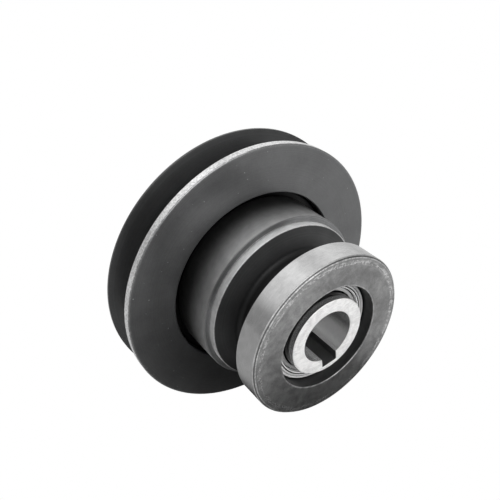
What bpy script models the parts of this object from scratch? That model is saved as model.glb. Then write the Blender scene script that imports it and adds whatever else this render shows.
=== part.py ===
"""Two-step V-belt pulley on a keyed sleeve.

A keyed steel sleeve is clamped on a 20 mm shaft. A large V-belt pulley spins on
it on a sealed ball bearing, and a small V-belt pulley with a drum-shaped hub
spins in front of it on a second ball bearing and a needle roller bearing.

World frame: the axis lies along Y, the open end of the sleeve faces -Y, +Z is
up. Stations along the axis are called s: millimetres forward (towards -Y) from
the front face of the large pulley.
"""

import math

import bmesh
import bpy
from mathutils import Matrix, Vector

MM = 0.001
SEG_PULLEY, SEG_SLEEVE, SEG_RING, SEG_CAGE = 48, 36, 28, 36   # facets round a turn

GAP = 0.3                    # clearance left between neighbouring pieces

# ------------------------------------------------------------ keyed sleeve
BORE_R = 10.05               # 20 mm shaft
SLEEVE_R = 15.0              # 30 mm seat, needles run straight on it
SEAT_R = 17.5                # 35 mm seat of the rear bearing
SLEEVE_FRONT = 40.7
SEAT_FRONT = -3.4
SLEEVE_REAR = -26.1
KEY_WIDTH = 6.3
KEY_FLOOR_R = 13.2
KEY_ANGLE = 171.6            # from +Z, clockwise as seen from the front

# ------------------------------------------------------------ large pulley
LARGE_R = 53.9
LARGE_GROOVE_FRONT = -3.1
LARGE_GROOVE_REAR = -16.1
LARGE_REAR = -17.4
LARGE_GROOVE_FLOOR_R = 42.6
GROOVE_HALF_ANGLE = 18.0
LARGE_BORE_R = 36.0          # seat of a 72 mm bearing
LARGE_MOUTH_R = 35.55
LARGE_HUB_R = 41.5
LARGE_HUB_REAR = -24.6

# ------------------------------------------------------------ small pulley
DRUM_R = 33.0
DRUM_REAR = -3.2
DRUM_FRONT = 14.7
LIP_R = 31.1
SMALL_R = 31.3
SMALL_GROOVE_REAR = 17.75
SMALL_GROOVE_FRONT = 31.65
SMALL_GROOVE_FLOOR_R = 22.4
SMALL_FRONT = 41.35
SMALL_HOLE_R = 20.05         # seat of a 40 mm needle bearing
POCKET_R = 27.5              # seat of a 55 mm bearing
POCKET_FRONT = 13.0

# ------------------------------------------------------------ bearings
# centre station, half width, bore, inner shoulder, outer shoulder, outside,
# pitch radius, raceway radius, ball radius, number of balls
REAR = dict(s=-12.2, half=8.5, bore=17.8, inner=23.45, outer=30.2, outside=35.7,
            pitch=26.75, race=5.55, ball=5.1, count=9)
HUB = dict(s=6.2, half=6.5, bore=15.3, inner=19.1, outer=23.3, outside=27.2,
           pitch=21.25, race=3.62, ball=3.25, count=11)
NEEDLE_FRONT, NEEDLE_REAR = 36.85, 16.9
NEEDLE_OUT_R = 19.75
NEEDLE_LIP_R = 16.95
NEEDLE_RACE_R = 18.2
NEEDLE_PITCH_R = 16.6
NEEDLE_R = 1.3
NEEDLE_LENGTH = 15.0
NEEDLE_COUNT = 18
CAGE_IN_R, CAGE_OUT_R = 15.35, 16.6

# the middle of the whole length is the world origin
MIDDLE = (SLEEVE_REAR + SMALL_FRONT) / 2


# ============================================================ scene and helpers
for old in list(bpy.data.objects):
    bpy.data.objects.remove(old, do_unlink=True)

parts = bpy.data.collections.new("two_step_v_belt_pulley")
cutters = bpy.data.collections.new("cutters")
bpy.context.scene.collection.children.link(parts)
bpy.context.scene.collection.children.link(cutters)


def axis_empty(name):
    """An empty on the axis whose local +Z runs forward, with s = 0 at its origin."""
    empty = bpy.data.objects.new(name, None)
    empty.empty_display_size = 0.02
    empty.location = (0, MIDDLE * MM, 0)
    empty.rotation_euler = (math.radians(90), 0, 0)
    parts.objects.link(empty)
    return empty


FRAME = axis_empty("sleeve_axis")
LARGE = axis_empty("large_pulley_axis")
SMALL = axis_empty("small_pulley_axis")
REAR_CAGE = axis_empty("rear_cage_axis")
HUB_CAGE = axis_empty("hub_cage_axis")
NEEDLE_CAGE = axis_empty("needle_cage_axis")

FINISHES = {
    "black_oxide": ((0.045, 0.045, 0.047, 1), 0.42, 0.75),
    "bright_steel": ((0.62, 0.62, 0.63, 1), 0.30, 1.0),
    "bearing_steel": ((0.42, 0.42, 0.43, 1), 0.24, 1.0),
    "spring_steel": ((0.10, 0.10, 0.11, 1), 0.40, 0.85),
    "cage_steel": ((0.33, 0.33, 0.34, 1), 0.38, 1.0),
    "seal_rubber": ((0.012, 0.012, 0.013, 1), 0.62, 0.0),
}


def finish(obj, kind):
    colour, roughness, metallic = FINISHES[kind]
    material = bpy.data.materials.new(f"{obj.name}_{kind}")
    material.use_nodes = True
    shader = material.node_tree.nodes["Principled BSDF"]
    shader.inputs["Base Color"].default_value = colour
    shader.inputs["Roughness"].default_value = roughness
    shader.inputs["Metallic"].default_value = metallic
    material.diffuse_color = colour
    obj.data.materials.clear()
    obj.data.materials.append(material)


def place(obj, parent, collection=parts):
    collection.objects.link(obj)
    obj.parent = parent
    if collection is cutters:
        obj.hide_render = True
        obj.display_type = "WIRE"
    return obj


def realised(obj):
    """The object's evaluated shape as its own mesh, smooth with sharp edges."""
    bpy.context.view_layer.update()
    graph = bpy.context.evaluated_depsgraph_get()
    mesh = bpy.data.meshes.new_from_object(obj.evaluated_get(graph))
    obj.modifiers.clear()
    obj.data = mesh
    mesh.name = obj.name
    mesh.shade_smooth()
    mesh.set_sharp_from_angle(angle=math.radians(28))
    return obj


def turned(name, profile, parent, kind, steps, closed=True):
    """A profile of (radius, station) pairs in mm, turned about the axis.

    The profile runs down its outer side, front to rear, and back up inside.
    """
    mesh = bpy.data.meshes.new(name)
    bm = bmesh.new()
    ring = [bm.verts.new((r * MM, 0, s * MM)) for r, s in profile]
    for a, b in zip(ring, ring[1:]):
        bm.edges.new((a, b))
    if closed:
        bm.edges.new((ring[-1], ring[0]))
    bm.to_mesh(mesh)
    bm.free()
    obj = place(bpy.data.objects.new(name, mesh), parent)
    screw = obj.modifiers.new("turn", "SCREW")
    screw.axis = "Z"
    screw.steps = screw.render_steps = steps
    screw.use_merge_vertices = True
    screw.merge_threshold = 0.00001
    realised(obj)
    finish(obj, kind)
    return obj


def cut(obj, cutter, name):
    boolean = obj.modifiers.new(name, "BOOLEAN")
    boolean.operation = "DIFFERENCE"
    boolean.object = cutter
    boolean.solver = "EXACT"


def arc(centre_r, radius, shoulder, side, count):
    """Points of a ball raceway, front to rear for side -1, rear to front for +1."""
    half = math.acos(abs(centre_r - shoulder) / radius)
    points = []
    for i in range(count):
        a = half * (1 - 2 * i / (count - 1))
        points.append((centre_r - radius * math.cos(a), radius * math.sin(a)))
    if side > 0:
        points = [(2 * centre_r - r, -s) for r, s in points]
    return points


def moved(profile, station):
    return [(r, s + station) for r, s in profile]


# ============================================================ keyed sleeve
sleeve = turned(
    "keyed_sleeve",
    [
        (SLEEVE_R - 0.3, SLEEVE_FRONT),
        (SLEEVE_R, SLEEVE_FRONT - 0.3),
        (SLEEVE_R, 14.8),
        (SLEEVE_R - 0.8, 14.8),
        (SLEEVE_R - 0.8, 12.7),
        (SLEEVE_R, 12.7),
        (SLEEVE_R, SEAT_FRONT),
        (SEAT_R - 0.3, SEAT_FRONT),
        (SEAT_R, SEAT_FRONT - 0.3),
        (SEAT_R, -20.8),
        (SEAT_R - 1.0, -20.8),
        (SEAT_R - 1.0, -22.8),
        (SEAT_R, -22.8),
        (SEAT_R, SLEEVE_REAR + 0.5),
        (SEAT_R - 0.5, SLEEVE_REAR),
        (BORE_R + 0.4, SLEEVE_REAR),
        (BORE_R, SLEEVE_REAR + 0.4),
        (BORE_R, SLEEVE_FRONT - 0.2),
        (BORE_R + 0.2, SLEEVE_FRONT),
    ],
    FRAME, "bright_steel", SEG_SLEEVE,
)

key_mesh = bpy.data.meshes.new("keyway_cutter")
bm = bmesh.new()
depth = KEY_FLOOR_R - 5.0
bmesh.ops.create_cube(
    bm, size=1.0,
    matrix=Matrix.Translation((0, (5.0 + depth / 2) * MM, (SLEEVE_FRONT + SLEEVE_REAR) / 2 * MM))
    @ Matrix.Diagonal((KEY_WIDTH * MM, depth * MM, 80 * MM, 1)),
)
bm.to_mesh(key_mesh)
bm.free()
keyway = place(bpy.data.objects.new("keyway_cutter", key_mesh), FRAME, cutters)
keyway.rotation_euler = (0, 0, -math.radians(KEY_ANGLE))
cut(sleeve, keyway, "keyway")

# ============================================================ large pulley
slope = math.tan(math.radians(GROOVE_HALF_ANGLE))
drop = (LARGE_R - LARGE_GROOVE_FLOOR_R) * slope
turned(
    "large_pulley",
    [
        (LARGE_R - 0.3, 0.0),
        (LARGE_R, -0.3),
        (LARGE_R, LARGE_GROOVE_FRONT),
        (LARGE_GROOVE_FLOOR_R, LARGE_GROOVE_FRONT - drop),
        (LARGE_GROOVE_FLOOR_R, LARGE_GROOVE_REAR + drop),
        (LARGE_R, LARGE_GROOVE_REAR),
        (LARGE_R, LARGE_REAR + 0.35),
        (LARGE_R - 0.35, LARGE_REAR),
        (49.6, LARGE_REAR),
        (48.8, LARGE_REAR + 0.8),
        (LARGE_HUB_R + 0.9, LARGE_REAR + 0.8),
        (LARGE_HUB_R, LARGE_REAR - 0.1),
        (LARGE_HUB_R, LARGE_HUB_REAR + 0.5),
        (LARGE_HUB_R - 0.5, LARGE_HUB_REAR),
        (LARGE_BORE_R + 0.4, LARGE_HUB_REAR),
        (LARGE_BORE_R, LARGE_HUB_REAR + 0.4),
        (LARGE_BORE_R, -23.8),
        (LARGE_BORE_R + 1.5, -23.8),
        (LARGE_BORE_R + 1.5, -20.7),
        (LARGE_BORE_R, -20.7),
        (LARGE_BORE_R, -3.4),
        (LARGE_MOUTH_R, -3.4),
        (LARGE_MOUTH_R, -0.4),
        (LARGE_MOUTH_R + 0.4, 0.0),
    ],
    LARGE, "black_oxide", SEG_PULLEY,
)

# ============================================================ small pulley
drop = (SMALL_R - SMALL_GROOVE_FLOOR_R) * slope
turned(
    "small_pulley",
    [
        (SMALL_R - 0.8, SMALL_FRONT),
        (SMALL_R, SMALL_FRONT - 0.9),
        (SMALL_R, SMALL_GROOVE_FRONT),
        (SMALL_GROOVE_FLOOR_R, SMALL_GROOVE_FRONT - drop),
        (SMALL_GROOVE_FLOOR_R, SMALL_GROOVE_REAR + drop),
        (LIP_R, SMALL_GROOVE_REAR),
        (LIP_R, DRUM_FRONT),
        (DRUM_R - 0.3, DRUM_FRONT),
        (DRUM_R, DRUM_FRONT - 0.3),
        (DRUM_R, DRUM_REAR + 0.5),
        (DRUM_R - 0.5, DRUM_REAR),
        (POCKET_R + 0.3, DRUM_REAR),
        (POCKET_R, DRUM_REAR + 0.3),
        (POCKET_R, -2.4),
        (POCKET_R + 1.2, -2.4),
        (POCKET_R + 1.2, -0.4),
        (POCKET_R, -0.4),
        (POCKET_R, POCKET_FRONT),
        (SMALL_HOLE_R, POCKET_FRONT),
        (SMALL_HOLE_R, SMALL_FRONT - 0.2),
        (SMALL_HOLE_R + 0.2, SMALL_FRONT),
    ],
    SMALL, "black_oxide", SEG_PULLEY,
)


# ============================================================ ball bearings
def inner_ring(name, b):
    c, h = 0.5, b["half"]
    profile = [(b["inner"] - c, h), (b["inner"], h - c)]
    profile += arc(b["pitch"], b["race"], b["inner"], -1, 5)
    profile += [(b["inner"], -h + c), (b["inner"] - c, -h), (b["bore"] + c, -h),
                (b["bore"], -h + c), (b["bore"], h - c), (b["bore"] + c, h)]
    return turned(name, moved(profile, b["s"]), FRAME, "bearing_steel", SEG_RING)


def outer_ring(name, b, parent):
    c, h, rebate = 0.8, b["half"], b["outer"] + 1.1
    inner_h = h - 1.5
    profile = [(b["outside"] - c, h), (b["outside"], h - c), (b["outside"], -h + c),
               (b["outside"] - c, -h), (rebate, -h), (rebate, -inner_h), (b["outer"], -inner_h)]
    profile += arc(b["pitch"], b["race"], b["outer"], +1, 5)
    profile += [(b["outer"], inner_h), (rebate, inner_h), (rebate, h)]
    return turned(name, moved(profile, b["s"]), parent, "bearing_steel", SEG_RING)


def seal(name, b, parent, side):
    """A rubber-faced disc in the rebate of the outer ring, clear of the inner ring."""
    inner, outer = b["inner"] + 0.35, b["outer"] + 0.8
    near, far = b["half"] - 1.2, b["half"] - 0.35
    profile = [(outer, far), (outer, near), (inner, near), (inner, far)]
    if side < 0:
        profile = [(r, -s) for r, s in reversed(profile)]
    return turned(name, moved(profile, b["s"]), parent, "seal_rubber", SEG_RING)


def ball_set(prefix, b, parent):
    shared = bpy.data.meshes.new(f"{prefix}_ball")
    bm = bmesh.new()
    bmesh.ops.create_uvsphere(bm, u_segments=10, v_segments=6, radius=b["ball"] * MM)
    bm.to_mesh(shared)
    bm.free()
    shared.shade_smooth()
    for i in range(b["count"]):
        a = 2 * math.pi * i / b["count"]
        ball = place(bpy.data.objects.new(f"{prefix}_ball_{i + 1}", shared), parent)
        ball.location = (b["pitch"] * math.sin(a) * MM, b["pitch"] * math.cos(a) * MM, b["s"] * MM)
        ball.rotation_euler = (math.pi / 2, 0, -a)
    finish(ball, "bearing_steel")


def radial_pockets(name, count, radius, length, pitch, station, parent, long_side=0.0):
    """One cutter of round pins, or of flat-ended slots, standing out from the axis."""
    mesh = bpy.data.meshes.new(name)
    bm = bmesh.new()
    for i in range(count):
        a = 2 * math.pi * i / count
        turn = Matrix.Rotation(-a, 4, "Z") @ Matrix.Translation((0, pitch * MM, station * MM))
        if long_side:
            bmesh.ops.create_cube(
                bm, size=1.0,
                matrix=turn @ Matrix.Diagonal((2 * radius * MM, length * MM, long_side * MM, 1)))
        else:
            bmesh.ops.create_cone(
                bm, cap_ends=True, segments=12, radius1=radius * MM, radius2=radius * MM,
                depth=length * MM, matrix=turn @ Matrix.Rotation(math.pi / 2, 4, "X"))
    bm.to_mesh(mesh)
    bm.free()
    return place(bpy.data.objects.new(name, mesh), parent, cutters)


def ball_cage(name, b, parent, half):
    inner, outer = b["inner"] + 1.0, b["outer"] - 1.0
    profile = [(outer, half), (outer, -half), (inner, -half), (inner, half)]
    cage = turned(name, moved(profile, b["s"]), parent, "cage_steel", SEG_CAGE)
    pins = radial_pockets(f"{name}_pockets", b["count"], b["ball"] + 0.4,
                          4 * b["ball"], b["pitch"], b["s"], parent)
    cut(cage, pins, "pockets")
    return cage


inner_ring("rear_bearing_inner_ring", REAR)
outer_ring("rear_bearing_outer_ring", REAR, LARGE)
seal("rear_bearing_front_seal", REAR, LARGE, +1)
seal("rear_bearing_rear_seal", REAR, LARGE, -1)
ball_cage("rear_bearing_cage", REAR, REAR_CAGE, 6.7)
ball_set("rear", REAR, REAR_CAGE)

inner_ring("hub_bearing_inner_ring", HUB)
outer_ring("hub_bearing_outer_ring", HUB, SMALL)
seal("hub_bearing_front_seal", HUB, SMALL, +1)
seal("hub_bearing_rear_seal", HUB, SMALL, -1)
ball_cage("hub_bearing_cage", HUB, HUB_CAGE, 4.6)
ball_set("hub", HUB, HUB_CAGE)

# spacer between the two inner rings
turned(
    "inner_spacer_ring",
    [(19.1, -0.6), (19.1, -3.1), (SLEEVE_R + GAP, -3.1), (SLEEVE_R + GAP, -0.6)],
    FRAME, "bright_steel", SEG_RING,
)

# ============================================================ needle bearing
mid = (NEEDLE_FRONT + NEEDLE_REAR) / 2
lip = 1.7
turned(
    "needle_bearing_ring",
    [
        (NEEDLE_OUT_R - 0.4, NEEDLE_FRONT),
        (NEEDLE_OUT_R, NEEDLE_FRONT - 0.4),
        (NEEDLE_OUT_R, NEEDLE_REAR),
        (NEEDLE_LIP_R, NEEDLE_REAR),
        (NEEDLE_LIP_R, NEEDLE_REAR + lip),
        (NEEDLE_RACE_R, NEEDLE_REAR + lip),
        (NEEDLE_RACE_R, NEEDLE_FRONT - lip),
        (NEEDLE_LIP_R, NEEDLE_FRONT - lip),
        (NEEDLE_LIP_R, NEEDLE_FRONT - 0.25),
        (NEEDLE_LIP_R + 0.25, NEEDLE_FRONT),
    ],
    SMALL, "bearing_steel", SEG_RING,
)
needle_cage = turned(
    "needle_cage",
    [(CAGE_OUT_R, NEEDLE_FRONT - 0.9), (CAGE_OUT_R, NEEDLE_REAR + 0.9),
     (CAGE_IN_R, NEEDLE_REAR + 0.9), (CAGE_IN_R, NEEDLE_FRONT - 0.9)],
    NEEDLE_CAGE, "cage_steel", SEG_CAGE,
)
slots = radial_pockets("needle_cage_slots", NEEDLE_COUNT, NEEDLE_R + 0.3, 6.0,
                       NEEDLE_PITCH_R, mid, NEEDLE_CAGE, long_side=NEEDLE_LENGTH + 0.8)
cut(needle_cage, slots, "slots")

pin = turned(
    "needle_1",
    [(0.0, NEEDLE_LENGTH / 2), (NEEDLE_R - 0.3, NEEDLE_LENGTH / 2), (NEEDLE_R, NEEDLE_LENGTH / 2 - 0.4),
     (NEEDLE_R, 0.4 - NEEDLE_LENGTH / 2), (NEEDLE_R - 0.3, -NEEDLE_LENGTH / 2), (0.0, -NEEDLE_LENGTH / 2)],
    NEEDLE_CAGE, "bearing_steel", 8, closed=False,
)
for i in range(NEEDLE_COUNT):
    a = 2 * math.pi * i / NEEDLE_COUNT
    needle = pin if i == 0 else place(bpy.data.objects.new(f"needle_{i + 1}", pin.data), NEEDLE_CAGE)
    needle.location = (NEEDLE_PITCH_R * math.sin(a) * MM, NEEDLE_PITCH_R * math.cos(a) * MM, mid * MM)


# ============================================================ retaining rings
def circlip(name, groove_r, free_r, front, thickness, parent, gap_deg, lug, hole, turn_deg):
    """A flat spring ring with two eyed lugs beside its gap.

    groove_r is the edge held in the groove and free_r the other edge, so the
    ring opens outwards (for a bore) or inwards (for a sleeve) as they say.
    """
    curve = bpy.data.curves.new(name, "CURVE")
    curve.dimensions = "2D"
    curve.fill_mode = "BOTH"
    curve.extrude = thickness / 2 * MM
    inward = 1 if free_r > groove_r else -1
    lug_r = free_r + inward * lug
    eye_r = free_r + inward * (lug * 0.42)
    half_gap = math.radians(gap_deg) / 2
    lug_span = 1.5 * (hole + 1.3) / eye_r
    start, end = half_gap, 2 * math.pi - half_gap
    outline = []
    steps = 28
    for i in range(steps + 1):
        a = start + (end - start) * i / steps
        outline.append((groove_r, a))
    inner = [(lug_r, end), (lug_r, end - lug_span * 0.8), (free_r, end - lug_span * 1.15)]
    count = 24
    a0, a1 = end - lug_span * 1.15, start + lug_span * 1.15
    for i in range(1, count):
        inner.append((free_r, a0 + (a1 - a0) * i / count))
    inner += [(free_r, a1), (lug_r, start + lug_span * 0.8), (lug_r, start)]
    outline += inner
    loops = [[(r * math.sin(a), r * math.cos(a)) for r, a in outline]]
    for a in (start + lug_span * 0.42, end - lug_span * 0.42):
        cx, cy = eye_r * math.sin(a), eye_r * math.cos(a)
        loops.append([(cx + hole / 2 * math.cos(t * math.pi / 5), cy + hole / 2 * math.sin(t * math.pi / 5))
                      for t in range(10)])
    for loop in loops:
        spline = curve.splines.new("POLY")
        spline.points.add(len(loop) - 1)
        for point, (x, y) in zip(spline.points, loop):
            point.co = (x * MM, y * MM, 0, 1)
        spline.use_cyclic_u = True
    ring = place(bpy.data.objects.new(name, curve), parent)
    ring.location = (0, 0, (front - thickness / 2) * MM)
    ring.rotation_euler = (0, 0, -math.radians(turn_deg))
    finish(ring, "spring_steel")
    return ring


circlip("large_bore_circlip", LARGE_BORE_R + 1.2, 33.0, -21.0, 2.5, LARGE, 22, 2.6, 2.0, 20)
circlip("hub_bore_circlip", POCKET_R + 0.9, 25.4, -0.65, 1.5, SMALL, 22, 2.4, 1.8, 140)
circlip("sleeve_rear_circlip", SEAT_R - 0.7, 19.4, -21.05, 1.5, FRAME, 26, 2.4, 1.8, 70)
circlip("sleeve_front_circlip", SLEEVE_R - 0.5, 16.6, 14.55, 1.5, FRAME, 26, 2.0, 1.6, 250)
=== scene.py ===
import math

import bmesh
import bpy
from mathutils import Matrix, Vector


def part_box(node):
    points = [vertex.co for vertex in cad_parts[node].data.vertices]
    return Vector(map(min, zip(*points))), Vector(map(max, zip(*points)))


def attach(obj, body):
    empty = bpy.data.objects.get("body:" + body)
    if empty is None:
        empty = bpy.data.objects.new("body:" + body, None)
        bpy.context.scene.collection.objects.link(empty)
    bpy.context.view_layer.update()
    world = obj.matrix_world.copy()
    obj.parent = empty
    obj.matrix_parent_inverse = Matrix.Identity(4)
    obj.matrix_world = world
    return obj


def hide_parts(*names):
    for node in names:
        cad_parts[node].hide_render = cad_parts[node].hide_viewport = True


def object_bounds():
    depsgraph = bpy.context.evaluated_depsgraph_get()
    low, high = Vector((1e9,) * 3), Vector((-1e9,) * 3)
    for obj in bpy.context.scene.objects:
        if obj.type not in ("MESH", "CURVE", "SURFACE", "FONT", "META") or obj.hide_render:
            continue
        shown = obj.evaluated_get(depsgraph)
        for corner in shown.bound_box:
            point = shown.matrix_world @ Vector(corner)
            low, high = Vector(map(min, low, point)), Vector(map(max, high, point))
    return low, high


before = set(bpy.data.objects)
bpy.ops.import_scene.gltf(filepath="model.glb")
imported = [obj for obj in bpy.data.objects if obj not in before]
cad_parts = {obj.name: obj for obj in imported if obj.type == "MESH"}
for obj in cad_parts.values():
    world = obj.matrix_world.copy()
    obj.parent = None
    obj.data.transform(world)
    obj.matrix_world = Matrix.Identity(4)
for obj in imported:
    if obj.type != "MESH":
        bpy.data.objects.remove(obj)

CAD_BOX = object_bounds()
MM = 0.001

# ---------------------------------------------------------------- tones of the finishes
OXIDE, GROOVE_OXIDE, STEP_OXIDE, OXIDE_ROUGH = 0.162, 0.066, 0.10, 0.26
RIM_STEEL, RIM_FUZZ = 0.66, 0.22
# The drum's darkest tone, next to the large pulley, is painted shade.
DRUM_SHADE_TONE, DRUM_STEEL, DRUM_ROUGH = 0.07, 0.56, 0.42
LIP_STEEL, LIP_ROUGH, FLANGE_STEEL, FLANGE_ROUGH = 0.82, 0.50, 0.47, 0.20
FACE_STEEL = 0.285
SLEEVE_FACE, SLEEVE_BORE, SLEEVE_OUTSIDE, SLEEVE_METAL = 0.84, 0.96, 0.24, 0.1
# The needle ring's white inner edge is a painted highlight.
NEEDLE_GREY, NEEDLE_HIGHLIGHT_TONE, NEEDLE_METAL = 0.74, 1.00, 0.10
LIP_START = 14.9

# Stations s are millimetres forward (towards -Y) from the large pulley's front face.
FACE_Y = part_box("large_pulley")[0].y


def station(y):
    return (FACE_Y - y) / MM


# ---------------------------------------------------------------- the design's own sizes, in mm
BORE_R, SLEEVE_R, SEAT_R = 10.05, 15.0, 17.5
SLEEVE_FRONT = station(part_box("keyed_sleeve")[0].y)
SLEEVE_REAR = station(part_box("keyed_sleeve")[1].y)
SEAT_FRONT = -3.4
KEY_WIDTH, KEY_FLOOR_R, KEY_ANGLE = 6.3, 13.2, 171.6
LARGE_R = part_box("large_pulley")[1].x / MM
LARGE_GROOVE_FRONT, LARGE_GROOVE_REAR, LARGE_REAR = -3.1, -16.1, -17.4
LARGE_GROOVE_FLOOR_R, LARGE_BORE_R, LARGE_MOUTH_R = 42.6, 36.0, 35.55
LARGE_HUB_R = 41.5
LARGE_HUB_REAR = station(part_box("large_pulley")[1].y)
SLOPE = math.tan(math.radians(18.0))
DRUM_R, LIP_R, SMALL_R = 33.0, 31.1, 31.3
DRUM_FRONT = 14.7
DRUM_REAR = station(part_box("small_pulley")[1].y)
SMALL_GROOVE_REAR, SMALL_GROOVE_FRONT, SMALL_GROOVE_FLOOR_R = 17.75, 31.65, 22.4
SMALL_FRONT = station(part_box("small_pulley")[0].y)
SMALL_HOLE_R, POCKET_R, POCKET_FRONT = 20.05, 27.5, 13.0
REAR = dict(s=-12.2, half=8.5, bore=17.8, inner=23.45, outer=30.2, outside=35.7,
            pitch=26.75, race=5.55, ball=5.1, count=9)
HUB = dict(s=6.2, half=6.5, bore=15.3, inner=19.1, outer=23.3, outside=27.2,
           pitch=21.25, race=3.62, ball=3.25, count=11)
NEEDLE_FRONT, NEEDLE_REAR = 36.85, 16.9
NEEDLE_OUT_R, NEEDLE_LIP_R, NEEDLE_RACE_R = 19.75, 16.95, 18.2
NEEDLE_PITCH_R, NEEDLE_R, NEEDLE_LENGTH, NEEDLE_COUNT = 16.6, 1.3, 15.0, 18
CAGE_IN_R, CAGE_OUT_R = 15.35, 16.6


# ================================================================ mesh helpers
def rounded(corners):
    """A closed outline of (r, s) corners; a third number rounds that corner to that radius."""
    points, count = [], len(corners)
    for i, corner in enumerate(corners):
        p = Vector(corner[:2])
        radius = corner[2] if len(corner) > 2 else 0.0
        if not radius:
            points.append(p)
            continue
        a = Vector(corners[i - 1][:2]) - p
        b = Vector(corners[(i + 1) % count][:2]) - p
        room = 0.48 * min(a.length, b.length)
        a.normalize()
        b.normalize()
        half = a.angle(b) / 2
        back = min(radius / math.tan(half), room)
        radius = back * math.tan(half)
        centre = p + (a + b).normalized() * (radius / math.sin(half))
        va, vb = p + a * back - centre, p + b * back - centre
        turn = va.angle(vb)
        steps = max(2, math.ceil(math.degrees(turn) / 18))
        for j in range(steps + 1):
            t = j / steps
            points.append(centre + (va * math.sin((1 - t) * turn) + vb * math.sin(t * turn)) / math.sin(turn))
    return [(p.x, p.y) for p in points]


def divided(outline, longest):
    """The outline with its long edges cut, so that a turned face has rings all over it."""
    points = []
    for (r0, s0), (r1, s1) in zip(outline, outline[1:] + outline[:1]):
        pieces = max(1, math.ceil(math.hypot(r1 - r0, s1 - s0) / longest))
        points += [(r0 + (r1 - r0) * k / pieces, s0 + (s1 - s0) * k / pieces) for k in range(pieces)]
    return points


def at(r, s, angle):
    """The point at a radius and station, angle clockwise from +Z as seen from the front."""
    return Vector((r * math.sin(angle) * MM, FACE_Y - s * MM, r * math.cos(angle) * MM))


def add(name, mesh):
    obj = bpy.data.objects.new(name, mesh)
    bpy.context.scene.collection.objects.link(obj)
    return obj


def smooth(obj, sharp=38):
    obj.data.shade_smooth()
    obj.data.set_sharp_from_angle(angle=math.radians(sharp))
    weighted = obj.modifiers.new("weighted_normals", "WEIGHTED_NORMAL")
    weighted.keep_sharp = True
    weighted.weight = 80
    return obj


def lathe(name, corners, steps, longest=3.0):
    """A closed outline turned about the Y axis."""
    outline = divided(rounded(corners), longest)
    bm = bmesh.new()
    rings = [[bm.verts.new(at(r, s, 2 * math.pi * i / steps)) for r, s in outline] for i in range(steps)]
    count = len(outline)
    for i in range(steps):
        here, following = rings[i], rings[(i + 1) % steps]
        for j in range(count):
            k = (j + 1) % count
            bm.faces.new((here[j], here[k], following[k], following[j]))
    bmesh.ops.recalc_face_normals(bm, faces=bm.faces)
    mesh = bpy.data.meshes.new(name)
    bm.to_mesh(mesh)
    bm.free()
    return add(name, mesh)


def cut(obj, cutter):
    """Takes the cutter out of obj for good, and removes the cutter."""
    boolean = obj.modifiers.new("cut", "BOOLEAN")
    boolean.operation = "DIFFERENCE"
    boolean.solver = "EXACT"
    boolean.object = cutter
    bpy.context.view_layer.update()
    mesh = bpy.data.meshes.new_from_object(obj.evaluated_get(bpy.context.evaluated_depsgraph_get()))
    obj.modifiers.clear()
    old = obj.data
    mesh.name = old.name
    obj.data = mesh
    bpy.data.meshes.remove(old)
    bpy.data.objects.remove(cutter, do_unlink=True)
    bm = bmesh.new()
    bm.from_mesh(mesh)
    bmesh.ops.remove_doubles(bm, verts=bm.verts, dist=1e-7)
    bmesh.ops.dissolve_degenerate(bm, edges=bm.edges, dist=1e-7)
    bm.to_mesh(mesh)
    bm.free()
    return obj


def prism(name, sections):
    """A closed solid through equal rings of points."""
    bm = bmesh.new()
    rings = [[bm.verts.new(p) for p in ring] for ring in sections]
    for here, following in zip(rings, rings[1:]):
        for j in range(len(here)):
            k = (j + 1) % len(here)
            bm.faces.new((here[j], here[k], following[k], following[j]))
    bm.faces.new(rings[0])
    bm.faces.new(rings[-1])
    bmesh.ops.recalc_face_normals(bm, faces=bm.faces)
    mesh = bpy.data.meshes.new(name)
    bm.to_mesh(mesh)
    bm.free()
    return add(name, mesh)


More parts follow.
